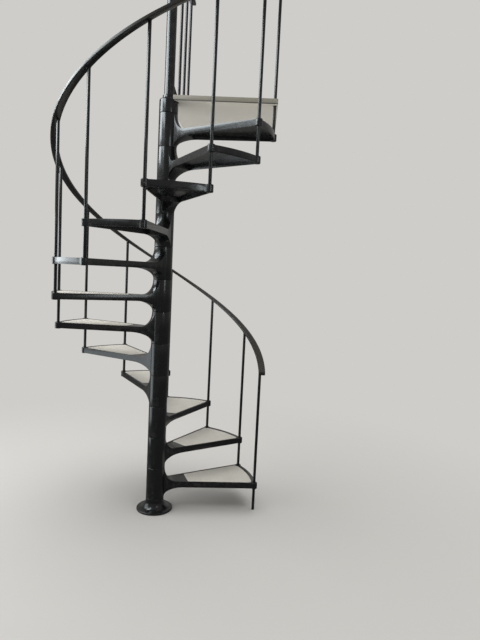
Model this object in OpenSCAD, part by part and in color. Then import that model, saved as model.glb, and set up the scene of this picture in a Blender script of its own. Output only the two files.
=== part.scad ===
// Spiral staircase with twelve cast treads stacked on a central pole.
// The origin is on the column's axis at the floor. The landing's front edge
// runs along +X, and the stair climbs anticlockwise, seen from above.

/* [Staircase] */
// Radius of the treads' outer edge
stair_r = 684; // [640:1:800]
// Height of the first tread's top above the floor
first_rise = 190; // [180:1:220]
// Rise from one tread to the next
rise = 210; // [195:1:235]
// Angle from one tread to the next
step_angle = 29.4; // [28:0.1:30]
// Angle from the +X direction to the last baluster
last_baluster_angle = -0.7; // [-2:0.1:1]

/* [Column] */
// Outer diameter of the tread hubs
hub_od = 120; // [105:1:135]
// Wall of a hub between its two end webs
hub_wall = 9; // [6:0.5:14]
// Thickness of the web at each end of a hub
hub_web = 14; // [8:1:20]
// Chamfer on both ends of a hub, which shows as a groove at each joint
joint_chamfer = 2; // [1:0.5:4]
// Outer diameter of the pole
pole_od = 63.5; // [55:0.5:75]
// Wall of the pole
pole_wall = 4.5; // [3:0.5:8]
// Clearance between the pole and what slides over it
pole_fit = 0.4; // [0.3:0.1:0.8]
// Height of the pole above the guard's rail, without its cap
pole_over_guard = 22; // [12:1:150]
// Height of the cap's dome
cap_h = 16; // [8:1:30]
// Height of the cap's straight rim
cap_rim_h = 6; // [3:1:12]
// Distance that the cap's rim stands out from the pole
cap_lip = 4; // [2:0.5:8]
// Depth of the cap's plug inside the pole
cap_plug = 30; // [15:1:50]
// Radius of the shoulder on the sleeve above the last tread
sleeve_shoulder = 12; // [4:1:18]
// Distance from the landing's top down to the sleeve's top
sleeve_drop = 16; // [6:1:24]

/* [Base flange] */
// Diameter of the base flange
base_od = 240; // [200:1:300]
// Height of the base flange, up to the first hub
base_h = 83; // [76:1:100]
// Thickness of the flange's disc
base_rim_h = 13; // [11:1:20]
// Radius of the round upper edge of the disc
base_edge_r = 5; // [2:0.5:9]
// Reach of the flange's hollow curve, from the collar to the flat of the disc
base_flare_run = 48; // [30:1:52]
// Height of the straight collar under the first hub
base_collar_h = 18; // [10:1:24]
// Thickness of the flange's floor, which the pole stands on
base_floor = 10; // [6:1:16]

/* [Tread casting] */
// Depth of the skirt round a tread
skirt_h = 38; // [28:1:50]
// Thickness of the skirt
skirt_t = 7; // [5:0.5:10]
// Thickness of the deck under the inlay
deck_t = 6; // [4:0.5:9]
// Distance from a baluster's centre to the nose face
nose_lead = 12; // [9:0.5:20]
// Distance from the next baluster's centre to the back face
back_lead = 17; // [9:0.5:24]
// Distance from the column's axis to the plane of the back face
root_back = 51; // [40:1:52]
// Width of the raised rim at the nose and at the back
rim_w = 13; // [10:0.5:22]
// Width of the raised rim along the outer edge
rim_outer_w = 26; // [22:1:36]
// Outer diameter of the baluster lugs
lug_od = 42; // [34:1:46]
// Distance that a lug stands above the rim and below the skirt
lug_proud = 3; // [1:0.5:6]
// Radius of a lug's round edges
lug_edge_r = 6; // [3:0.5:9]
// Width of the rim between a lug and the recess
lug_rim_w = 4; // [2:0.5:8]
// Distance from the axis to where the hollow underside starts
hollow_start = 160; // [120:1:200]
// Distance along the hub from each end to where a flare starts
flare_margin = 4; // [2:0.5:20]
// Reach of the flare above the deck, from the hub
flare_top_run = 74; // [40:1:90]
// Reach of the flare under the skirt, from the hub
flare_low_run = 132; // [70:1:160]

/* [Tread inlay] */
// Distance from the axis to the inlay's straight inner end
inlay_start = 214; // [190:1:280]
// Radius of the recess's two inner corners
inlay_corner_r = 15; // [4:1:24]
// Thickness of the inlay
inlay_t = 4; // [2:0.5:6]
// Height of the rim above the inlay
inlay_sink = 1; // [0.5:0.5:3]
// Gap between the inlay and the rim
inlay_gap = 0.4; // [0.2:0.1:1]

/* [Balusters and handrail] */
// Diameter of the balusters
baluster_d = 19; // [12:0.5:22]
// Distance from the treads' outer edge in to the baluster circle
baluster_inset = 10; // [8:1:16]
// Clearance between a baluster and its lugs
baluster_fit = 0.3; // [0.2:0.1:0.6]
// Gap between a baluster's top and the handrail
baluster_seat = 0.3; // [0.2:0.1:0.8]
// Width of the handrail
rail_w = 44; // [36:1:60]
// Thickness of the handrail at its middle
rail_t = 22; // [16:1:32]
// Drop of the handrail's crowned top at its sides
rail_crown = 5; // [2:0.5:8]
// Chamfer along the handrail's lower edges
rail_chamfer = 2; // [1:0.5:4]
// Height of the handrail's centre above the line of the tread noses
rail_height = 798; // [700:1:950]
// Distance that the handrail's centreline lies outside the balusters
rail_out = 10; // [0:1:12]
// Angle that the handrail runs on below the first baluster
rail_tail_angle = 4; // [2:0.5:8]
// Angle that the handrail runs on past the last baluster
rail_head_angle = 3; // [2:0.5:6]

/* [Landing] */
// Thickness of the landing board
board_t = 33; // [28:1:50]
// Distance from the last baluster's centre to the board's right-hand edge
board_side = 18; // [15:1:60]
// Reach of the board from the axis to its back edge
board_d = 692; // [600:1:900]
// Distance of the board's front edge in front of the axis
board_front = 50; // [40:1:56]
// Distance of the board's left-hand edge from the axis
board_left = 0; // [-20:1:38]
// Gap between the board and the sleeve that it is cut round
board_gap = 0.5; // [0.3:0.1:2]
// Gap between the board and the baluster that passes through it
board_hole_gap = 0.8; // [0.5:0.1:3]
// Thickness of the landing bracket's plate
bracket_t = 6; // [4:1:10]
// Reach of the bracket's arm over the board, from the axis
bracket_reach = 150; // [110:1:220]
// Width of the bracket's arm
bracket_w = 40; // [30:1:50]
// Wall of the bracket's ring round the pole
bracket_wall = 8; // [5:1:10]
// Height of the bracket's gusset above its plate
gusset_h = 76; // [50:1:110]
// Reach of the bracket's gusset from the pole
gusset_run = 38; // [25:1:60]
// Thickness of the bracket's gusset
gusset_t = 8; // [5:1:12]

/* [Landing guard] */
// Height of the guard rail's top above the board
guard_h = 914; // [860:1:920]
// Distance of the guard's centreline from the axis
guard_x = 30; // [28:1:50]
// Distance from the axis to the first guard baluster
guard_first = 200; // [105:1:240]
// Distance from one guard baluster to the next
guard_pitch = 200; // [90:1:220]
// Least distance from the last guard baluster to the board's back edge
guard_margin = 40; // [20:1:100]
// Height of the pole's band below the guard rail
band_h = 14; // [4:1:30]
// Thickness of the band
band_t = 6; // [4:1:10]

/* [Hidden] */
$fn = 96;
tread_count = 12;
curve_steps = 10;
rail_steps = 72;
crown_steps = 6;
join = 1;

hub_r = hub_od / 2;
pole_r = pole_od / 2;
bore_r = pole_r + pole_fit;
base_r = base_od / 2;
hub_drop = first_rise - base_h;
flare_top_h = rise - hub_drop - flare_margin;
flare_low_h = hub_drop - skirt_h - flare_margin;
inlay_depth = inlay_t + inlay_sink;
baluster_circle_r = stair_r - baluster_inset;
rail_r = baluster_circle_r + rail_out;
landing_z = first_rise + tread_count * rise;
pole_top = landing_z + guard_h + pole_over_guard;
guard_under = landing_z + guard_h - rail_t;
board_right = baluster_circle_r + board_side;
far = 2 * stair_r;

// Direction of a tread's back face, so that it passes back_lead behind the
// next baluster and root_back behind the column's axis.
back_angle = step_angle - asin((root_back - back_lead) / baluster_circle_r);

function two_digits(k) = k < 10 ? str("0", k) : str(k);
function numbered(name, count) = [for (k = [1 : count]) str(name, two_digits(k))];
function baluster_angle(k) = last_baluster_angle - (tread_count + 1 - k) * step_angle;
function tread_top(k) = first_rise + (k - 1) * rise;
function hub_bottom(k) = base_h + (k - 1) * rise;
function rail_z(angle) =
    first_rise + rail_height + (angle - baluster_angle(1)) * rise / step_angle;

// Points of a quarter curve that leaves the hub upright and ends level. It
// starts at the hub's surface, run and h away from its level end.
function flare(run, h, z0) = [
    for (i = [0 : curve_steps])
        let (t = 90 * i / curve_steps)
        [hub_r + run * (1 - cos(t)), z0 + h * (1 - sin(t))]
];
function reversed(list) = [for (i = [len(list) - 1 : -1 : 0]) list[i]];

// Round foot: a disc that flares up to a collar. The pole stands in its socket
// and the first hub on its collar.
module base_flange() {
    edge = [
        for (i = [0 : curve_steps])
            let (t = 90 * i / curve_steps)
            [
                base_r - base_edge_r * (1 - cos(t)),
                base_rim_h - base_edge_r * (1 - sin(t))
            ]
    ];
    hollow_h = base_h - base_collar_h - base_rim_h;
    color("#15171a")
    rotate_extrude()
    polygon(concat(
        [[0, 0], [base_r, 0]],
        edge,
        reversed(flare(base_flare_run, hollow_h, base_rim_h)),
        [
            [hub_r, base_h - joint_chamfer],
            [hub_r - joint_chamfer, base_h],
            [bore_r, base_h],
            [bore_r, base_floor],
            [0, base_floor]
        ]
    ));
}

// Steel tube from the base flange's socket to above the guard rail.
module center_pole() {
    color("#1b1d20")
    translate([0, 0, base_floor])
    difference() {
        cylinder(r = pole_r, h = pole_top - base_floor);
        translate([0, 0, -join])
        cylinder(r = pole_r - pole_wall, h = pole_top - base_floor + 2 * join);
    }
}

// Low domed cap with a plug that fits in the pole's open end.
module pole_cap() {
    plug_r = pole_r - pole_wall - pole_fit;
    rim_r = pole_r + cap_lip;
    dome = [
        for (i = [0 : curve_steps])
            let (t = 90 * i / curve_steps)
            [rim_r * cos(t), cap_rim_h + cap_h * sin(t)]
    ];
    color("#1b1d20")
    translate([0, 0, pole_top])
    rotate_extrude()
    polygon(concat(
        [[0, -cap_plug], [plug_r, -cap_plug], [plug_r, 0], [rim_r, 0]],
        dome
    ));
}

// Outline of a hub: a wall with a web at each end that fits the pole.
module hub_outline() {
    polygon([
        [bore_r, 0],
        [hub_r - joint_chamfer, 0],
        [hub_r, joint_chamfer],
        [hub_r, rise - joint_chamfer],
        [hub_r - joint_chamfer, rise],
        [bore_r, rise],
        [bore_r, rise - hub_web],
        [hub_r - hub_wall, rise - hub_web],
        [hub_r - hub_wall, hub_web],
        [bore_r, hub_web]
    ]);
}

// Plain sleeve on the last hub, up inside the landing, with a round shoulder.
module top_sleeve() {
    sleeve_h = landing_z - sleeve_drop - hub_bottom(tread_count + 1);
    shoulder = [
        for (i = [0 : curve_steps])
            let (t = 90 * i / curve_steps)
            [
                hub_r - sleeve_shoulder * (1 - cos(t)),
                sleeve_h - sleeve_shoulder * (1 - sin(t))
            ]
    ];
    color("#15171a")
    translate([0, 0, hub_bottom(tread_count + 1)])
    rotate_extrude()
    polygon(concat(
        [[bore_r, 0], [hub_r - joint_chamfer, 0], [hub_r, joint_chamfer]],
        shoulder,
        [
            [bore_r, sleeve_h],
            [bore_r, sleeve_h - hub_web],
            [hub_r - hub_wall, sleeve_h - hub_web],
            [hub_r - hub_wall, hub_web],
            [bore_r, hub_web]
        ]
    ));
}

// Plan of a tread, drawn in from its sides and from its outer edge. The
// tread's own baluster lies on the plan's X axis.
module tread_plan(side_in, outer_in) {
    back = root_back - side_in;
    nose = nose_lead - side_in;
    foot = back * [-sin(back_angle), cos(back_angle)];
    intersection() {
        circle(r = stair_r - outer_in, $fn = 180);
        polygon([
            [0, -nose],
            [far, -nose],
            foot + far * [cos(back_angle), sin(back_angle)],
            foot
        ]);
    }
}

// Centre of the round corner between the recess's inner end and the side that
// runs at the angle a. The side lies w to the left (1) or right (-1) of the axis.
function corner(a, side, w, start, r) =
    let (turn = step_angle / 2 - a)
    side * (w - r) * [-sin(a), cos(a)]
        + (start + r - side * (w - r) * sin(turn)) / cos(turn) * [cos(a), sin(a)];

// Plan of the recess, or with a gap of the inlay in it. The inner end is square
// to the middle of the tread and has round corners, and the outer corners are
// cut round the lugs.
module inlay_plan(gap) {
    nose = nose_lead - rim_w - gap;
    back = root_back - rim_w - gap;
    start = inlay_start + gap;
    r = inlay_corner_r - gap;
    nose_center = corner(0, -1, nose, start, r);
    back_center = corner(back_angle, 1, back, start, r);
    along_back = [cos(back_angle), sin(back_angle)];
    out_of_back = [-sin(back_angle), cos(back_angle)];
    inward = -[cos(step_angle / 2), sin(step_angle / 2)];
    difference() {
        intersection() {
            circle(r = stair_r - rim_outer_w - gap, $fn = 180);
            union() {
                polygon([
                    nose_center + r * inward,
                    nose_center - [0, r],
                    [far, -nose],
                    back * out_of_back + far * along_back,
                    back_center + r * out_of_back,
                    back_center + r * inward
                ]);
                for (center = [nose_center, back_center])
                    translate(center)
                    circle(r = r);
            }
        }
        for (angle = [0, step_angle])
            rotate([0, 0, angle])
            translate([baluster_circle_r, 0])
            circle(r = lug_od / 2 + lug_rim_w + gap);
    }
}

// Round boss that a baluster passes through, a little taller than the skirt.
module lug() {
    h = skirt_h + 2 * lug_proud;
    inner_r = lug_od / 2 - lug_edge_r;
    translate([0, 0, -skirt_h - lug_proud])
    rotate_extrude()
    union() {
        square([inner_r, h]);
        translate([0, lug_edge_r])
        square([lug_od / 2, h - 2 * lug_edge_r]);
        for (z = [lug_edge_r, h - lug_edge_r])
            translate([inner_r, z])
            circle(r = lug_edge_r, $fn = 24);
    }
}

// Flares that carry the tread on its hub, above and below, cut to its plan.
module tread_flares() {
    reach = hub_r + max(flare_low_run, flare_top_run);
    intersection() {
        rotate_extrude()
        polygon(concat(
            [[hub_r - hub_wall / 2, -skirt_h - flare_low_h]],
            flare(flare_low_run, -flare_low_h, -skirt_h),
            [[reach, -skirt_h], [reach, 0]],
            reversed(flare(flare_top_run, flare_top_h, 0)),
            [[hub_r - hub_wall / 2, flare_top_h]]
        ));
        translate([0, 0, -hub_drop])
        linear_extrude(rise)
        tread_plan(0, 0);
    }
}

// One casting: hub, flares, skirt, deck and the two baluster lugs. Its zero
// height is the top of the rim.
module tread_casting() {
    under_deck = inlay_depth + deck_t;
    difference() {
        union() {
            translate([0, 0, -hub_drop])
            rotate_extrude()
            hub_outline();
            difference() {
                union() {
                    tread_flares();
                    translate([0, 0, -skirt_h])
                    linear_extrude(skirt_h)
                    tread_plan(0, 0);
                }
                cylinder(r = hub_r - hub_wall / 2, h = 4 * rise, center = true);
                translate([0, 0, -hub_drop])
                linear_extrude(hub_drop - under_deck)
                difference() {
                    tread_plan(skirt_t, skirt_t);
                    circle(r = hollow_start);
                }
            }
            for (angle = [0, step_angle])
                rotate([0, 0, angle])
                translate([baluster_circle_r, 0, 0])
                lug();
        }
        translate([0, 0, -inlay_depth])
        linear_extrude(inlay_depth + join)
        inlay_plan(0);
        for (angle = [0, step_angle])
            rotate([0, 0, angle])
            translate([baluster_circle_r, 0, -rise])
            cylinder(d = baluster_d + 2 * baluster_fit, h = 2 * rise);
    }
}

module tread(k) {
    color("#15171a")
    translate([0, 0, tread_top(k)])
    rotate([0, 0, baluster_angle(k)])
    tread_casting();
}

// Flat wearing sheet that lies in the tread's recess.
module tread_inlay(k) {
    color("#c9c4b4")
    translate([0, 0, tread_top(k) - inlay_depth])
    rotate([0, 0, baluster_angle(k)])
    linear_extrude(inlay_t)
    inlay_plan(inlay_gap);
}

// Round bar from the lug of the tread below, or from the floor, through the
// tread's own lug to the handrail, cut to the handrail's slope.
module baluster(k) {
    foot_z = k == 1 ? 0 : tread_top(k - 1) - skirt_h - lug_proud;
    seat_z = rail_z(baluster_angle(k)) - rail_t / 2 - baluster_seat;
    slope = atan(rise / (baluster_circle_r * step_angle * PI / 180));
    color("#1b1d20")
    rotate([0, 0, baluster_angle(k)])
    translate([baluster_circle_r, 0, 0])
    difference() {
        translate([0, 0, foot_z])
        cylinder(d = baluster_d, h = seat_z - foot_z + baluster_d);
        translate([0, 0, seat_z])
        rotate([slope, 0, 0])
        translate([-baluster_d, -2 * baluster_d, 0])
        cube([2 * baluster_d, 4 * baluster_d, 2 * baluster_d]);
    }
}

// Points of the rail's section, anticlockwise: chamfered below, crowned above.
rail_section = concat(
    [
        [-rail_w / 2 + rail_chamfer, -rail_t / 2],
        [rail_w / 2 - rail_chamfer, -rail_t / 2],
        [rail_w / 2, -rail_t / 2 + rail_chamfer]
    ],
    [
        for (i = [0 : crown_steps])
            let (t = 180 * i / crown_steps)
            [rail_w / 2 * cos(t), rail_t / 2 - rail_crown * (1 - sin(t))]
    ],
    [[-rail_w / 2, -rail_t / 2 + rail_chamfer]]
);

// One helical bar over all the balusters, cut square at both ends.
module handrail() {
    start = baluster_angle(1) - rail_tail_angle;
    turn = tread_count * step_angle + rail_tail_angle + rail_head_angle;
    n = len(rail_section);
    points = [
        for (i = [0 : rail_steps])
            let (angle = start + turn * i / rail_steps)
            for (p = rail_section)
                [
                    (rail_r + p.x) * cos(angle),
                    (rail_r + p.x) * sin(angle),
                    rail_z(angle) + p.y
                ]
    ];
    sides = [
        for (i = [0 : rail_steps - 1], j = [0 : n - 1])
            let (a = i * n + j, b = i * n + (j + 1) % n)
            for (face = [[a, b, b + n], [a, b + n, a + n]])
                face
    ];
    low_end = [for (j = [n - 1 : -1 : 0]) j];
    high_end = [for (j = [0 : n - 1]) rail_steps * n + j];
    color("#101214")
    polyhedron(points = points, faces = concat(sides, [low_end, high_end]));
}

// Square board with a notch round the sleeve and a hole for the last baluster.
module landing_board() {
    color("#c4b9a2")
    translate([0, 0, landing_z - board_t])
    difference() {
        translate([board_left, -board_front, 0])
        cube([board_right - board_left, board_d + board_front, board_t]);
        translate([0, 0, -join])
        cylinder(r = hub_r + board_gap, h = board_t + 2 * join);
        rotate([0, 0, last_baluster_angle])
        translate([baluster_circle_r, 0, -join])
        cylinder(d = baluster_d + 2 * board_hole_gap, h = board_t + 2 * join);
    }
}

// Arm on the board with a ring that stands on the sleeve, and a gusset that
// stiffens the pole.
module landing_bracket() {
    arm_angle = 45;
    ring_r = bore_r + bracket_wall;
    color("#1b1d20")
    translate([0, 0, landing_z])
    rotate([0, 0, arm_angle]) {
        difference() {
            union() {
                translate([0, 0, -sleeve_drop])
                cylinder(r = ring_r, h = sleeve_drop + bracket_t);
                translate([0, -bracket_w / 2, 0])
                cube([bracket_reach, bracket_w, bracket_t]);
            }
            translate([0, 0, -sleeve_drop - join])
            cylinder(r = bore_r, h = sleeve_drop + bracket_t + 2 * join);
        }
        translate([0, gusset_t / 2, 0])
        rotate([90, 0, 0])
        linear_extrude(gusset_t)
        polygon([
            [bore_r + join, bracket_t - join],
            [pole_r + gusset_run, bracket_t - join],
            [pole_r + gusset_run, bracket_t],
            [bore_r + 2 * join, bracket_t + gusset_h],
            [bore_r + join, bracket_t + gusset_h]
        ]);
    }
}

// Welded guard: a straight rail that starts at a band round the pole, and its
// balusters.
module landing_guard() {
    room = board_d - guard_margin - guard_first;
    count = floor(room / guard_pitch) + 1;
    band_z = guard_under - band_h;
    color("#101214")
    difference() {
        union() {
            translate([guard_x, board_d, guard_under + rail_t / 2])
            rotate([90, 0, 0])
            linear_extrude(board_d)
            polygon(rail_section);
            translate([0, 0, band_z])
            cylinder(r = bore_r + band_t, h = band_h + rail_t - rail_crown);
            for (i = [0 : count - 1])
                translate([guard_x, guard_first + i * guard_pitch, landing_z])
                cylinder(d = baluster_d, h = guard_under - landing_z + join);
        }
        translate([0, 0, band_z - join])
        cylinder(r = bore_r, h = band_h + rail_t + 2 * join);
    }
}

base_flange();
center_pole();
pole_cap();
top_sleeve();
for (k = [1 : tread_count]) {
    tread(k);
    tread_inlay(k);
}
for (k = [1 : tread_count + 1]) {
    baluster(k);
}
handrail();
landing_board();
landing_bracket();
landing_guard();
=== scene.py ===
# Spiral staircase of cast treads on a pole: the looks of every piece, built
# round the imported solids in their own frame, in metres.
import math

import bpy
from mathutils import Matrix, Vector


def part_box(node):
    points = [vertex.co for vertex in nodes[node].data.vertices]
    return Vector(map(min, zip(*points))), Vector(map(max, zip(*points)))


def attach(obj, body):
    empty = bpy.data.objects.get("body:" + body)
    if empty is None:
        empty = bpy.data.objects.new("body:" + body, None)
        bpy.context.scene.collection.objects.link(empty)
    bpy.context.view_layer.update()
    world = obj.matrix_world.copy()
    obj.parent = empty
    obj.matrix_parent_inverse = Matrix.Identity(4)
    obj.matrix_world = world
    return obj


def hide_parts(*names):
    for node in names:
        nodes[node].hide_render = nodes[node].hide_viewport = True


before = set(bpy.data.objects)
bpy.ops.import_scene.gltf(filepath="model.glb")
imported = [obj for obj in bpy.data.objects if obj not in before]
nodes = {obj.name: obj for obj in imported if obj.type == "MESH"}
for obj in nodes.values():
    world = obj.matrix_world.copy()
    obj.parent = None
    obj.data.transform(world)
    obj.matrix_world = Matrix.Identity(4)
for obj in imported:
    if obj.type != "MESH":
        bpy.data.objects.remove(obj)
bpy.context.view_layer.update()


# Camera, at eye height in front of the stair and a little to its right, where
# the photo was taken from. It looks slightly down and leans a little, and its
# long side is upright.
eye = Vector((0.632, -3.427, 1.619))
turned_left = math.radians(1.87)
tipped_down = math.radians(5.09)
leaning = math.radians(2.83)
bpy.ops.object.camera_add()
camera = bpy.context.object
camera.data.sensor_width = 36
camera.data.lens = 29.53
camera.matrix_world = (
    Matrix.Translation(eye)
    @ Matrix.Rotation(turned_left, 4, "Z")
    @ Matrix.Rotation(math.radians(90) - tipped_down, 4, "X")
    @ Matrix.Rotation(leaning, 4, "Z")
)
bpy.context.scene.camera = camera


# Studio: a wide pale floor that fades into an even pale surround, a wide soft
# light on the left, where the daylight comes from, and a broad one overhead. In
# the gloss the floor and surround are darker, and bright panels show instead.
surround_colour = (0.62, 0.61, 0.585, 1)
floor_colour = (0.60, 0.59, 0.57, 1)
floor_roughness = 0.85
floor_width = 60
surround_light = 0.6
surround_in_gloss = 0.5
floor_in_gloss = 0.22
floor_fade_start = 1.0
floor_fade_end = 3.5
daylight = (0.91, 1.0, 1.04)


def add(tree, kind, inputs=None, **settings):
    """A shader node with its settings, and its inputs as numbers or linked sockets."""
    made = tree.nodes.new("ShaderNode" + kind)
    for name, value in settings.items():
        setattr(made, name, value)
    for name, value in (inputs or {}).items():
        if isinstance(value, bpy.types.NodeSocket):
            tree.links.new(value, made.inputs[name])
        else:
            made.inputs[name].default_value = value
    return made


def remap(tree, value, spread, onto=(0.0, 1.0), **settings):
    """A value moved from one range onto another, and held inside that."""
    return add(tree, "MapRange", {
        "Value": value, "From Min": spread[0], "From Max": spread[1],
        "To Min": onto[0], "To Max": onto[1]}, **settings).outputs["Result"]


def start_material(name):
    """A new material with its node tree and its Principled shader."""
    made = bpy.data.materials.new(name)
    made.use_nodes = True
    return made, made.node_tree, made.node_tree.nodes["Principled BSDF"]


def soft_light(name, radiance, width, height, place, target):
    """A rectangular lamp at a place, turned to a target and out of the picture."""
    bpy.ops.object.light_add(type="AREA", location=place)
    lamp = bpy.context.object
    lamp.name = name
    lamp.data.shape = "RECTANGLE"
    lamp.data.size = width
    lamp.data.size_y = height
    lamp.data.energy = radiance * math.pi * width * height
    lamp.rotation_euler = (Vector(target) - Vector(place)).to_track_quat("-Z", "Y").to_euler()
    lamp.visible_camera = False
    return lamp


for lamp in (
    soft_light("left_light", 2.4, 8.0, 4.0, (-5.0, -1.0, 2.7), (0.0, -1.0, 1.8)),
    soft_light("overhead_light", 1.7, 8.0, 8.0, (0.3, 0.5, 6.5), (0.3, 0.5, 0.0)),
):
    lamp.visible_glossy = False
for panel in (
    soft_light("low_panel", 2.2, 1.5, 1.5, (-2.0, -0.1, 0.78), (0.0, -0.1, 0.78)),
    soft_light("middle_panel", 5.0, 1.5, 0.5, (-2.0, -0.1, 1.8), (0.0, -0.1, 1.8)),
    soft_light("high_panel", 11.0, 1.2, 1.8, (-2.0, -0.25, 3.58), (0.0, -0.25, 3.58)),
    soft_light("top_panel", 10.0, 2.5, 1.05, (-2.0, -2.1, 3.95), (0.0, -2.1, 3.95)),
    soft_light("side_panel", 1.2, 3.5, 0.85, (-2.0, -2.6, 3.0), (0.0, -2.6, 3.0)),
    soft_light("right_panel", 6.0, 0.35, 1.2, (2.0, -2.33, 2.3), (0.0, 0.0, 2.3)),
):
    panel.visible_diffuse = False
    panel.data.color = daylight

bpy.ops.mesh.primitive_plane_add(size=floor_width)
floor = bpy.context.object
floor.name = "floor"
floor_paint, tree, shader = start_material("pale_floor")
spot = add(tree, "TexCoord").outputs["Object"]
distance = add(tree, "VectorMath", {0: spot}, operation="LENGTH").outputs["Value"]
fade = remap(tree, distance, (floor_fade_start, floor_fade_end), interpolation_type="SMOOTHSTEP")
in_gloss = add(tree, "LightPath").outputs["Is Glossy Ray"]
shader.inputs["Base Color"].default_value = floor_colour
shader.inputs["Roughness"].default_value = floor_roughness
far_floor = add(tree, "Emission", {"Color": surround_colour})
dark_floor = add(tree, "Emission", {"Color": surround_colour, "Strength": floor_in_gloss})
blend = add(tree, "MixShader", {0: fade, 1: shader.outputs[0], 2: far_floor.outputs[0]})
blend = add(tree, "MixShader", {0: in_gloss, 1: blend.outputs[0], 2: dark_floor.outputs[0]})
tree.links.new(blend.outputs[0], tree.nodes["Material Output"].inputs["Surface"])
floor.data.materials.append(floor_paint)

world = bpy.data.worlds.new("surround")
world.use_nodes = True
bpy.context.scene.world = world
tree = world.node_tree
background = tree.nodes["Background"]
background.inputs["Color"].default_value = surround_colour
ray = add(tree, "LightPath").outputs
strength = remap(tree, ray["Is Glossy Ray"], (0.0, 1.0), (surround_light, surround_in_gloss))
strength = remap(tree, ray["Is Camera Ray"], (0.0, 1.0), (strength, 1.0))
tree.links.new(strength, background.inputs["Strength"])
bpy.context.scene.view_settings.view_transform = "Standard"


# Base flange: a round cast foot, hollow below, that stands on the floor and
# holds the pole's lower end in a socket. Like all the metalwork it has a coat of
# black gloss enamel, with orange peel, a little grit and dust on upward faces.
def start_effect(name, inputs, outputs):
    """A node group with named number inputs and outputs, and its two ends."""
    group = bpy.data.node_groups.new(name, "ShaderNodeTree")
    for label, value in inputs.items():
        socket = group.interface.new_socket(
            name=label, in_out="INPUT", socket_type="NodeSocketFloat")
        socket.default_value = value
    for label in outputs:
        group.interface.new_socket(name=label, in_out="OUTPUT", socket_type="NodeSocketFloat")
    given = group.nodes.new("NodeGroupInput").outputs
    return group, given, group.nodes.new("NodeGroupOutput").inputs


def use_effect(tree, group, inputs):
    """An effect placed in a material with its own values. Returns its outputs."""
    made = tree.nodes.new("ShaderNodeGroup")
    made.node_tree = group
    for label, value in inputs.items():
        made.inputs[label].default_value = value
    return made.outputs


def noise(tree, place, scale, detail, roughness=0.5):
    """Soft noise over a place, mostly between 0 and 1."""
    return add(tree, "TexNoise", {
        "Vector": place, "Scale": scale, "Detail": detail, "Roughness": roughness}).outputs[0]


def work_out(tree, operation, *values, **settings):
    """The result of a sum with numbers or sockets."""
    return add(tree, "Math", dict(enumerate(values)), operation=operation, **settings).outputs[0]


def leave_patches(group, given, result, where, detail, roughness, spread):
    """Ends an effect, whose mask is the places given, broken up into patches."""
    place = add(group, "TexCoord").outputs["Object"]
    patch_scale = work_out(group, "DIVIDE", 1.0, given["Patch Size"])
    patches = remap(group, noise(group, place, patch_scale, detail, roughness), spread)
    mask = work_out(group, "MULTIPLY", where, patches)
    mask = work_out(group, "MULTIPLY", mask, given["Amount"], use_clamp=True)
    group.links.new(mask, result["Mask"])


paint_film, given, result = start_effect(
    "paint_film", {"Peel Size": 0.006, "Grit Size": 0.0015, "Grit": 0.3}, ["Height", "Haze"])
place = add(paint_film, "TexCoord").outputs["Object"]
peel_scale = work_out(paint_film, "DIVIDE", 1.0, given["Peel Size"])
grit_scale = work_out(paint_film, "DIVIDE", 1.0, given["Grit Size"])
peel = noise(paint_film, place, peel_scale, detail=1.0)
grit = noise(paint_film, place, grit_scale, detail=2.0)
grit = work_out(paint_film, "MULTIPLY", grit, given["Grit"])
paint_film.links.new(work_out(paint_film, "ADD", peel, grit), result["Height"])
haze = noise(paint_film, place, scale=9.0, detail=5.0, roughness=0.65)
paint_film.links.new(haze, result["Haze"])

settled_dust, given, result = start_effect(
    "settled_dust", {"Amount": 0.5, "Patch Size": 0.05}, ["Mask"])
normal = add(settled_dust, "NewGeometry").outputs["Normal"]
facing = add(settled_dust, "SeparateXYZ", {0: normal}).outputs["Z"]
upward = remap(settled_dust, facing, spread=(0.35, 0.98), interpolation_type="SMOOTHSTEP")
leave_patches(settled_dust, given, result, upward, detail=6.0, roughness=0.7, spread=(0.3, 0.75))

rubbed_edges, given, result = start_effect(
    "rubbed_edges", {"Amount": 0.5, "Patch Size": 0.02}, ["Mask"])
sharpness = add(rubbed_edges, "NewGeometry").outputs["Pointiness"]
edge = remap(rubbed_edges, sharpness, spread=(0.53, 0.62))
leave_patches(rubbed_edges, given, result, edge, detail=5.0, roughness=0.5, spread=(0.42, 0.68))


def between(tree, factor, low, high):
    """A colour between two others."""
    return add(tree, "Mix", {"Factor": factor, "A": low, "B": high},
               data_type="RGBA").outputs["Result"]


def coat(tree, shader, tone, height, depth):
    """Gives a shader its colour, and a bump that is a depth high, in metres."""
    bump = add(tree, "Bump", {"Height": height, "Distance": depth})
    tree.links.new(tone, shader.inputs["Base Color"])
    tree.links.new(bump.outputs["Normal"], shader.inputs["Normal"])


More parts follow.
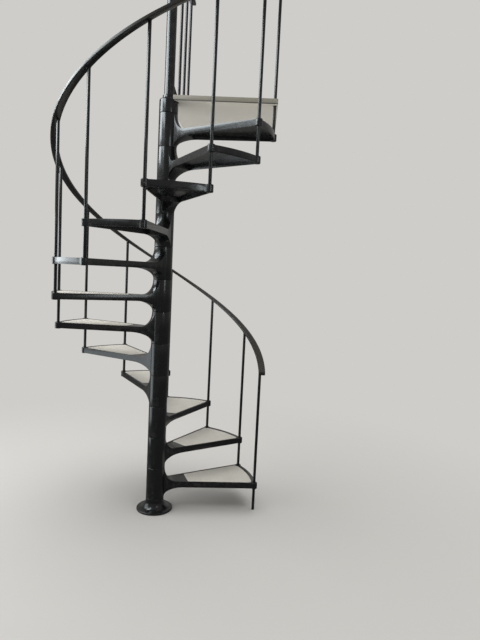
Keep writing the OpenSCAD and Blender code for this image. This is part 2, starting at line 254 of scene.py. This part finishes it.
def enamel(name, peel_size, grit, dust, wear, depth):
    """Black gloss enamel. Depth is the height of its orange peel, in metres."""
    made, tree, shader = start_material(name)
    film = use_effect(tree, paint_film, {"Peel Size": peel_size, "Grit": grit})
    dust_mask = use_effect(tree, settled_dust, {"Amount": dust, "Patch Size": 0.06})["Mask"]
    wear_mask = use_effect(tree, rubbed_edges, {"Amount": wear, "Patch Size": 0.03})["Mask"]
    black = (0.0040, 0.0047, 0.0054, 1)
    hazed_black = (0.0078, 0.0086, 0.0092, 1)
    rubbed_grey = (0.085, 0.087, 0.088, 1)
    dust_grey = (0.16, 0.15, 0.135, 1)
    dust_roughness = 0.7
    tone = between(tree, film["Haze"], black, hazed_black)
    tone = between(tree, wear_mask, tone, rubbed_grey)
    tone = between(tree, dust_mask, tone, dust_grey)
    gloss = remap(tree, film["Haze"], spread=(0.3, 0.7), onto=(0.18, 0.23))
    gloss = add(tree, "Mix", {"Factor": dust_mask, "A": gloss, "B": dust_roughness},
                data_type="FLOAT").outputs["Result"]
    tree.links.new(gloss, shader.inputs["Roughness"])
    coat(tree, shader, tone, film["Height"], depth)
    return made


def dress(piece, material):
    """Gives a piece its one material."""
    piece.data.materials.clear()
    piece.data.materials.append(material)


def alone(piece):
    """Selects only this piece, in object mode."""
    bpy.ops.object.select_all(action="DESELECT")
    piece.select_set(True)
    bpy.context.view_layer.objects.active = piece


copy_weld = 0.000002
flat_within = math.radians(0.4)
smooth_within = math.radians(30)
flange_edge = 0.0012


def merged_copy(node_name, piece_name):
    """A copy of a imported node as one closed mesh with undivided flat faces."""
    copy = bpy.data.objects.new(piece_name, nodes[node_name].data.copy())
    bpy.context.scene.collection.objects.link(copy)
    alone(copy)
    bpy.ops.object.mode_set(mode="EDIT")
    bpy.ops.mesh.select_all(action="SELECT")
    bpy.ops.mesh.customdata_custom_splitnormals_clear()
    bpy.ops.mesh.remove_doubles(threshold=copy_weld)
    bpy.ops.mesh.dissolve_limited(angle_limit=flat_within)
    bpy.ops.object.mode_set(mode="OBJECT")
    return copy


def round_edges(piece, width, segments=2, sharper_than=32):
    """Rounds the edges that are sharper than an angle, and shades the rest smooth."""
    alone(piece)
    rounding = piece.modifiers.new("rounding", "BEVEL")
    rounding.width = width
    rounding.segments = segments
    rounding.limit_method = "ANGLE"
    rounding.angle_limit = math.radians(sharper_than)
    rounding.miter_outer = "MITER_ARC"
    rounding.use_clamp_overlap = True
    bpy.ops.object.modifier_apply(modifier=rounding.name)
    bpy.ops.object.shade_smooth_by_angle(angle=smooth_within)


def softened(node_name, piece_name, width, material):
    """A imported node's copy with rounded edges and a material, in the node's place."""
    copy = merged_copy(node_name, piece_name)
    round_edges(copy, width)
    dress(copy, material)
    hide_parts(node_name)
    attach(copy, "root")
    return copy


casting_enamel = enamel(
    "casting_enamel", peel_size=0.014, grit=0.1, dust=0.05, wear=0.2, depth=0.00006)
softened("base_flange", "flange_casting", flange_edge, casting_enamel)


# Pole: a drawn steel tube that stands in the flange's socket. Only its upper
# end shows, above the sleeve, with a smoother sprayed coat of the enamel.
bar_enamel = enamel(
    "bar_enamel", peel_size=0.005, grit=0.12, dust=0.05, wear=0.2, depth=0.000015)
dress(nodes["center_pole"], bar_enamel)


# Treads: twelve like castings of hub, flares, skirt, deck and lugs, each dropped
# over the pole on the hub below. The foundry breaks their edges, and each lug is
# drilled for a set screw. The first is finished, then copied up the stair.
tread_names = sorted(n for n in nodes if n.startswith("tread_") and "inlay" not in n)
inlay_names = sorted(n for n in nodes if n.startswith("tread_inlay_"))
baluster_names = sorted(n for n in nodes if n.startswith("baluster_"))
casting_edge = 0.0024
lug_reach = 0.021
skirt_depth = 0.038
screw_hole_radius = 0.0042
drill_middle = 1.3 * lug_reach
inlay_sunk = 0.001


def middle(name):
    """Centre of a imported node's box."""
    low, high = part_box(name)
    return (low + high) / 2


def heading(name):
    """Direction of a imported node's middle from the column, seen from above."""
    point = middle(name)
    return math.atan2(point.y, point.x)


step_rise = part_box(tread_names[1])[0].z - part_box(tread_names[0])[0].z
step_turn = heading(baluster_names[1]) - heading(baluster_names[0])


def copy_at(piece, name, move):
    """A copy of a piece with its own mesh, moved by a matrix."""
    copy = piece.copy()
    copy.data = piece.data.copy()
    copy.name = name
    bpy.context.scene.collection.objects.link(copy)
    copy.data.transform(move)
    return copy


def climb(piece, name, steps):
    """A copy of a piece, some steps further up the stair."""
    up = Matrix.Translation((0, 0, steps * step_rise))
    return copy_at(piece, name, up @ Matrix.Rotation(steps * step_turn, 4, "Z"))


def fill_stair(first, label, names):
    """Copies a piece up the stair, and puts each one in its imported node's place."""
    pieces = [first]
    for k in range(1, len(names)):
        pieces.append(climb(first, "%s_%02d" % (label, k + 1), k))
    for piece, name in zip(pieces, names):
        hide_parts(name)
        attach(piece, "root")


def cut_away(piece, cutter):
    """Cuts a modelled shape out of a piece, and takes the shape away."""
    alone(piece)
    cutting = piece.modifiers.new("cutting", "BOOLEAN")
    cutting.operation = "DIFFERENCE"
    cutting.solver = "EXACT"
    cutting.object = cutter
    bpy.ops.object.modifier_apply(modifier=cutting.name)
    alone(cutter)
    bpy.ops.object.delete()


def outward_at(name, height):
    """Frame of a baluster: X away from the column, Y along the climb, Z up."""
    point = middle(name)
    place = Matrix.Translation((point.x, point.y, height))
    return place @ Matrix.Rotation(heading(name), 4, "Z")


first_rim_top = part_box(inlay_names[0])[1].z + inlay_sunk
screw_height = first_rim_top - skirt_depth / 2
lug_frames = [outward_at(name, screw_height) for name in baluster_names[:2]]
first_casting = merged_copy(tread_names[0], "tread_casting_01")
for lug_frame in lug_frames:
    bpy.ops.mesh.primitive_cylinder_add(
        vertices=24, radius=screw_hole_radius, depth=2 * lug_reach)
    drill = bpy.context.object
    drill.matrix_world = (lug_frame @ Matrix.Translation((drill_middle, 0, 0))
                          @ Matrix.Rotation(math.radians(90), 4, "Y"))
    cut_away(first_casting, drill)
round_edges(first_casting, casting_edge)
dress(first_casting, casting_enamel)
fill_stair(first_casting, "tread_casting", tread_names)


# Inlays: sheets of pale vinyl flooring, cut to the recess and glued down. The
# pattern is a fine mottle with darker flecks, greyed where people tread.
inlay_edge = 0.0007
deep_mottle = (0.60, 0.58, 0.52, 1)
pale_mottle = (0.73, 0.71, 0.65, 1)
fleck_brown = (0.36, 0.34, 0.29, 1)
trodden_grey = (0.40, 0.385, 0.345, 1)
mottle_depth = 0.0001
inlay_vinyl, tree, shader = start_material("inlay_vinyl")
place = add(tree, "TexCoord").outputs["Object"]
mottle = noise(tree, place, scale=55.0, detail=6.0, roughness=0.6)
flecks = noise(tree, place, scale=420.0, detail=2.0)
scuffs = noise(tree, place, scale=7.0, detail=7.0, roughness=0.7)
flecks = remap(tree, flecks, spread=(0.60, 0.72), onto=(0.0, 0.45))
scuffs = remap(tree, scuffs, spread=(0.5, 0.8), onto=(0.0, 0.35))
tone = between(tree, mottle, deep_mottle, pale_mottle)
tone = between(tree, flecks, tone, fleck_brown)
tone = between(tree, scuffs, tone, trodden_grey)
sheen = remap(tree, scuffs, spread=(0.0, 1.0), onto=(0.6, 0.9))
tree.links.new(sheen, shader.inputs["Roughness"])
shader.inputs["Specular IOR Level"].default_value = 0.3
coat(tree, shader, tone, mottle, mottle_depth)

first_inlay = merged_copy(inlay_names[0], "inlay_sheet_01")
round_edges(first_inlay, inlay_edge)
dress(first_inlay, inlay_vinyl)
fill_stair(first_inlay, "inlay_sheet", inlay_names)


# Sleeve: a plain cast tube that stands on the last hub and carries the
# landing's bracket.
softened("top_sleeve", "sleeve_casting", casting_edge, casting_enamel)


# Balusters: round steel bars, each through the lugs of two treads, painted
# before the stair is put up. The first stands on the floor. The others are
# alike, so the second is softened at its ends and copied up the stair.
baluster_radius = 0.0095
baluster_edge = 0.0006
softened(baluster_names[0], "first_bar", baluster_edge, bar_enamel)
bar = softened(baluster_names[1], "bar_02", baluster_edge, bar_enamel)
for k in range(2, len(baluster_names)):
    next_bar = climb(bar, "bar_%02d" % (k + 1), k - 1)
    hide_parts(baluster_names[k])
    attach(next_bar, "root")


# Set screws: a short steel screw with a hexagon socket sits a little below the
# outer side of each lug and clamps its baluster. Two are made at the first
# tread, turned from bar with a broached socket, and copied up the stair.
screw_radius = 0.0041
screw_length = 0.009
screw_sunk = 0.0008
screw_edge = 0.0003
socket_radius = 0.0024
socket_depth = 0.0035
piece_weld = 0.000005
square_corner = 50


def finish_piece(piece, name):
    """Puts a modelled piece's place in its mesh, with its faces outwards."""
    piece.name = name
    piece.data.name = name
    alone(piece)
    bpy.ops.object.transform_apply(location=True, rotation=True, scale=True)
    bpy.ops.object.mode_set(mode="EDIT")
    bpy.ops.mesh.select_all(action="SELECT")
    bpy.ops.mesh.remove_doubles(threshold=piece_weld)
    bpy.ops.mesh.normals_make_consistent(inside=False)
    bpy.ops.object.mode_set(mode="OBJECT")
    bpy.ops.object.shade_smooth_by_angle(angle=smooth_within)


def put_on(piece, material):
    """Gives an added piece its material and its place with the whole stair."""
    dress(piece, material)
    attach(piece, "root")


def socket_screw(radius, length, name, placed):
    """A screw along its own Z with its socketed end at the top, at a place."""
    bpy.ops.mesh.primitive_cylinder_add(
        vertices=32, radius=radius, depth=length, location=(0, 0, -length / 2))
    screw = bpy.context.object
    bpy.ops.object.transform_apply(location=True)
    bpy.ops.mesh.primitive_cylinder_add(
        vertices=6, radius=socket_radius, depth=2 * socket_depth)
    cut_away(screw, bpy.context.object)
    round_edges(screw, screw_edge, sharper_than=square_corner)
    screw.matrix_world = placed
    finish_piece(screw, name)
    return screw


dark_steel = (0.10, 0.098, 0.095, 1)
bare_steel = (0.19, 0.185, 0.18, 1)
turning_depth = 0.00002
plain_steel, tree, shader = start_material("plain_steel")
film = use_effect(tree, paint_film, {"Peel Size": 0.002, "Grit": 0.3})
tone = between(tree, film["Haze"], dark_steel, bare_steel)
shader.inputs["Metallic"].default_value = 0.8
shader.inputs["Roughness"].default_value = 0.42
coat(tree, shader, tone, film["Height"], turning_depth)

for side, lug_frame in zip(("near", "far"), lug_frames):
    placed = (lug_frame @ Matrix.Translation((lug_reach - screw_sunk, 0, 0))
              @ Matrix.Rotation(math.radians(90), 4, "Y"))
    first_screw = socket_screw(screw_radius, screw_length, "set_screw_%s_01" % side, placed)
    put_on(first_screw, plain_steel)
    for k in range(1, len(tread_names)):
        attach(climb(first_screw, "set_screw_%s_%02d" % (side, k + 1), k), "root")


# Handrail: a flat steel bar is bent to the helix and welded to the balusters,
# and a moulded vinyl cover with a crowned top and two lips is pressed over it.
# Each section is drawn at the rail's low end and wound up the stair.
rail_low, rail_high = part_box("handrail")
rail_width = 0.044
rail_depth = 0.022
rail_crown = 0.005
flat_width = 0.037
flat_depth = 0.006
flat_corner = 0.0008
flat_play = 0.0002
lip_rise = 0.0015
lip_corner = 0.0015
cover_edge = 0.0006
tolerance = 0.0001
rail_radius = rail_high.y - rail_width / 2
rail_tail = math.radians(4)
rail_head = math.radians(3)
rail_turn = step_turn * len(tread_names) + rail_tail + rail_head
rail_rings = 288
rail_start = heading(baluster_names[0]) - rail_tail
rail_bottom = rail_low.z


def look_at_edges(piece, chosen):
    """In edit mode, selects the edges whose two ends both pass a test."""
    bpy.ops.mesh.select_mode(type="EDGE")
    bpy.ops.mesh.select_all(action="DESELECT")
    bpy.ops.object.mode_set(mode="OBJECT")
    for edge in piece.data.edges:
        edge.select = all(chosen(piece.data.vertices[v].co) for v in edge.vertices)
    bpy.ops.object.mode_set(mode="EDIT")


def look_at_corners(piece, chosen):
    """In edit mode, selects the corners that pass a test."""
    bpy.ops.mesh.select_mode(type="VERT")
    bpy.ops.mesh.select_all(action="DESELECT")
    bpy.ops.object.mode_set(mode="OBJECT")
    for vertex in piece.data.vertices:
        vertex.select = chosen(vertex.co)
    bpy.ops.object.mode_set(mode="EDIT")


def start_section(width, low, high):
    """A flat section from low to high, left in edit mode with all of it selected."""
    bpy.ops.object.select_all(action="DESELECT")
    bpy.ops.mesh.primitive_plane_add(size=1)
    bpy.ops.object.mode_set(mode="EDIT")
    bpy.ops.mesh.select_all(action="SELECT")
    bpy.ops.transform.resize(value=(width, high - low, 1))
    bpy.ops.transform.translate(value=(0, (low + high) / 2, 0))
    return bpy.context.object


def wind_up(section, name):
    """Winds a section from the rail's low end up the stair and closes both ends."""
    bpy.ops.mesh.select_mode(type="FACE")
    bpy.ops.mesh.select_all(action="SELECT")
    bpy.ops.mesh.dissolve_faces()
    bpy.ops.mesh.delete(type="ONLY_FACE")
    bpy.ops.object.mode_set(mode="OBJECT")
    section.matrix_world = (
        Matrix.Rotation(rail_start, 4, "Z")
        @ Matrix.Translation((rail_radius, 0, rail_bottom))
        @ Matrix.Rotation(math.radians(90), 4, "X")
    )
    alone(section)
    bpy.ops.object.transform_apply(location=True, rotation=True, scale=True)
    winding = section.modifiers.new("winding", "SCREW")
    winding.axis = "Z"
    winding.angle = rail_turn
    winding.screw_offset = rail_turn / step_turn * step_rise
    winding.steps = rail_rings
    winding.render_steps = rail_rings
    winding.use_merge_vertices = False
    bpy.ops.object.modifier_apply(modifier=winding.name)
    bpy.ops.object.mode_set(mode="EDIT")
    bpy.ops.mesh.select_mode(type="EDGE")
    bpy.ops.mesh.select_all(action="DESELECT")
    bpy.ops.mesh.select_non_manifold()
    bpy.ops.mesh.edge_face_add()
    bpy.ops.object.mode_set(mode="OBJECT")
    finish_piece(section, name)


rail_flat = start_section(flat_width, 0, flat_depth)
bpy.ops.mesh.bevel(offset=flat_corner, segments=2, affect="VERTICES")
wind_up(rail_flat, "rail_flat")
put_on(rail_flat, bar_enamel)

slot_top = flat_depth + flat_play
slot_side = flat_width / 2 + flat_play
cover_half = rail_width / 2
cover_side = rail_depth - rail_crown
nearly_all = 0.999
cover = start_section(rail_width, slot_top, cover_side + cover_half)
look_at_corners(cover, lambda co: co.y > cover_side)
bpy.ops.mesh.bevel(offset=cover_half * nearly_all, segments=12, affect="VERTICES")
look_at_corners(cover, lambda co: co.y > cover_side + tolerance)
bpy.ops.transform.resize(
    value=(1, rail_crown / cover_half, 1), center_override=(0, cover_side, 0))
for x in (-slot_side, slot_side):
    bpy.ops.mesh.select_all(action="SELECT")
    bpy.ops.mesh.bisect(plane_co=(x, 0, 0), plane_no=(1, 0, 0))
for side in (-1, 1):
    look_at_edges(cover, lambda co: (
        co.y < slot_top + tolerance and side * co.x > slot_side - tolerance))
    bpy.ops.mesh.extrude_edges_move(
        TRANSFORM_OT_translate={"value": (0, lip_rise - slot_top, 0)})
look_at_corners(cover, lambda co: (
    co.y < lip_rise + tolerance and abs(co.x) > cover_half - tolerance))
bpy.ops.mesh.bevel(offset=lip_corner, segments=3, affect="VERTICES")
wind_up(cover, "handrail_cover")
round_edges(cover, cover_edge, sharper_than=square_corner)

deep_vinyl = (0.0155, 0.0145, 0.0120, 1)
hazed_vinyl = (0.0240, 0.0225, 0.0190, 1)
vinyl_dust = (0.12, 0.11, 0.10, 1)
moulding_depth = 0.00003
rail_vinyl, tree, shader = start_material("rail_vinyl")
film = use_effect(tree, paint_film, {"Peel Size": 0.006, "Grit": 0.5})
dust_mask = use_effect(tree, settled_dust, {"Amount": 0.2, "Patch Size": 0.08})["Mask"]
tone = between(tree, film["Haze"], deep_vinyl, hazed_vinyl)
tone = between(tree, dust_mask, tone, vinyl_dust)
sheen = remap(tree, film["Haze"], spread=(0.3, 0.7), onto=(0.34, 0.46))
tree.links.new(sheen, shader.inputs["Roughness"])
coat(tree, shader, tone, film["Height"], moulding_depth)
dress(cover, rail_vinyl)
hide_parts("handrail")
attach(cover, "root")


# Weld beads: each baluster's top is welded to the handrail's flat all round. One
# bead is laid at the first baluster, on the rail's slope, and copied up the
# stair, and the guard's bars are welded in the same way.
bead_radius = 0.0021
bead_ring = baluster_radius + 0.3 * bead_radius
ripple_length = 0.004
ripple_height = 0.0016
ripple = bpy.data.textures.new("bead_ripple", "CLOUDS")
ripple.noise_scale = ripple_length


def round_bead(name, placed, stretch):
    """A weld bead round a bar, in the plane of its frame, with an uneven surface."""
    bpy.ops.object.select_all(action="DESELECT")
    bpy.ops.mesh.primitive_torus_add(
        major_radius=bead_ring, minor_radius=bead_radius, major_segments=40, minor_segments=10)
    bead = bpy.context.object
    bpy.ops.object.mode_set(mode="EDIT")
    bpy.ops.mesh.select_all(action="SELECT")
    bpy.ops.transform.resize(value=(1, stretch, 1))
    bpy.ops.object.mode_set(mode="OBJECT")
    laying = bead.modifiers.new("laying", "DISPLACE")
    laying.texture = ripple
    laying.strength = ripple_height
    bpy.ops.object.modifier_apply(modifier=laying.name)
    bead.matrix_world = placed
    finish_piece(bead, name)
    put_on(bead, bar_enamel)
    return bead


baluster_circle = middle(baluster_names[0]).xy.length
rail_slope = math.atan2(step_rise, step_turn * baluster_circle)
flat_bottom = rail_bottom + rail_tail / step_turn * step_rise
placed = outward_at(baluster_names[0], flat_bottom) @ Matrix.Rotation(rail_slope, 4, "X")
first_bead = round_bead("rail_bead_01", placed, 1 / math.cos(rail_slope))
for k in range(1, len(baluster_names)):
    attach(climb(first_bead, "rail_bead_%02d" % (k + 1), k), "root")


# Landing: a square board of laminated timber with a beige painted face, lined
# below with a thin off-white sheet that is set back a little. The sheet's upright
# edges are painted near-black, a painted shadow line under the board's edge.
board_edge = 0.0012
lining_depth = 0.006
lining_edge = 0.0003
lining_setback = 0.002
upright_limit = 0.5
board_low, board_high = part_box("landing_board")
lining_top = board_low.z + lining_depth


def kept_slice(piece, height, keep_above):
    """Cuts a piece level at a height and keeps the part above or below it."""
    alone(piece)
    bpy.ops.object.mode_set(mode="EDIT")
    bpy.ops.mesh.select_all(action="SELECT")
    bpy.ops.mesh.bisect(plane_co=(0, 0, height), plane_no=(0, 0, 1), use_fill=True,
                        clear_inner=keep_above, clear_outer=not keep_above)
    bpy.ops.object.mode_set(mode="OBJECT")


def look_at_faces(piece, chosen):
    """In edit mode, selects the faces whose normal passes a test."""
    bpy.ops.mesh.select_mode(type="FACE")
    bpy.ops.mesh.select_all(action="DESELECT")
    bpy.ops.object.mode_set(mode="OBJECT")
    for face in piece.data.polygons:
        face.select = chosen(face.normal)
    bpy.ops.object.mode_set(mode="EDIT")


board = merged_copy("landing_board", "board_slab")
kept_slice(board, lining_top, keep_above=True)
round_edges(board, board_edge)
lining = merged_copy("landing_board", "board_lining")
kept_slice(lining, lining_top, keep_above=False)
bpy.ops.object.mode_set(mode="EDIT")
look_at_faces(lining, lambda normal: abs(normal.z) < upright_limit)
bpy.ops.transform.shrink_fatten(value=-lining_setback, use_even_offset=True)
bpy.ops.object.mode_set(mode="OBJECT")
round_edges(lining, lining_edge)

deep_beige = (0.26, 0.245, 0.205, 1)
pale_beige = (0.34, 0.325, 0.275, 1)
grain_depth = 0.0003
board_beige, tree, shader = start_material("board_beige")
place = add(tree, "TexCoord").outputs["Object"]
along = add(tree, "Mapping", {"Vector": place, "Scale": (3.0, 40.0, 40.0)}).outputs[0]
grain = noise(tree, along, scale=4.0, detail=8.0, roughness=0.65)
shader.inputs["Roughness"].default_value = 0.5
coat(tree, shader, between(tree, grain, deep_beige, pale_beige), grain, grain_depth)
dress(board, board_beige)

stained_white = (0.72, 0.695, 0.64, 1)
clean_white = (0.80, 0.78, 0.73, 1)
# Near-black painted shadow for the lining's upright edges, not the sheet's own colour.
painted_shadow_edge = (0.018, 0.016, 0.013, 1)
lining_white, tree, shader = start_material("lining_white")
place = add(tree, "TexCoord").outputs["Object"]
stains = noise(tree, place, scale=3.5, detail=6.0, roughness=0.6)
normal = add(tree, "NewGeometry").outputs["Normal"]
facing = add(tree, "SeparateXYZ", {0: normal}).outputs["Z"]
flatness = work_out(tree, "ABSOLUTE", facing)
tone = between(tree, stains, stained_white, clean_white)
# Upright faces take the painted shadow colour, and flat faces keep the white.
tone = between(tree, flatness, painted_shadow_edge, tone)
tree.links.new(tone, shader.inputs["Base Color"])
shader.inputs["Roughness"].default_value = 0.6
dress(lining, lining_white)
for piece in (board, lining):
    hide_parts("landing_board")
    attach(piece, "root")


# Bracket: a steel arm with a ring round the pole and a gusset, welded up and
# painted with the balusters' enamel. Two socket screws hold its arm to the board.
welded_edge = 0.0008
arm_turn = math.radians(45)
arm_depth = 0.006
arm_top = board_high.z + arm_depth
arm_screw_radius = 0.0065
arm_screw_height = 0.005
arm_screw_below = 0.001
arm_screw_reaches = (0.098, 0.132)
softened("landing_bracket", "bracket_weldment", welded_edge, bar_enamel)
for k, reach in enumerate(arm_screw_reaches):
    placed = (Matrix.Rotation(arm_turn, 4, "Z")
              @ Matrix.Translation((reach, 0, arm_top + arm_screw_height)))
    arm_screw = socket_screw(arm_screw_radius, arm_screw_height + arm_screw_below,
                             "arm_screw_%02d" % (k + 1), placed)
    put_on(arm_screw, plain_steel)


# Guard: bars and a straight rail, welded up, on a band that grips the pole.
# Each bar is welded to the rail and to a small foot plate on the board.
guard_x = 0.030
guard_bars = (0.2, 0.4, 0.6)
guard_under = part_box("landing_guard")[1].z - rail_depth
foot_radius = 0.017
foot_depth = 0.004
foot_play = 0.0001
foot_edge = 0.0012
softened("landing_guard", "guard_weldment", welded_edge, bar_enamel)
guard_joint = Matrix.Translation((guard_x, guard_bars[0], guard_under))
first_guard_bead = round_bead("guard_bead_01", guard_joint, 1)
bpy.ops.object.select_all(action="DESELECT")
bpy.ops.mesh.primitive_cylinder_add(
    vertices=40, radius=foot_radius, depth=foot_depth,
    location=(guard_x, guard_bars[0], board_high.z + foot_depth / 2))
first_foot = bpy.context.object
bpy.ops.mesh.primitive_cylinder_add(
    vertices=32, radius=baluster_radius + foot_play, depth=4 * foot_depth,
    location=(guard_x, guard_bars[0], board_high.z))
cut_away(first_foot, bpy.context.object)
round_edges(first_foot, foot_edge, segments=3, sharper_than=square_corner)
finish_piece(first_foot, "guard_foot_01")
put_on(first_foot, bar_enamel)
for k in range(1, len(guard_bars)):
    further = Matrix.Translation((0, guard_bars[k] - guard_bars[0], 0))
    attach(copy_at(first_guard_bead, "guard_bead_%02d" % (k + 1), further), "root")
    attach(copy_at(first_foot, "guard_foot_%02d" % (k + 1), further), "root")


# Cap: a low turned dome of the same steel as the pole. It is pressed into the
# pole's open end and painted with it.
softened("pole_cap", "cap_dome", welded_edge, bar_enamel)
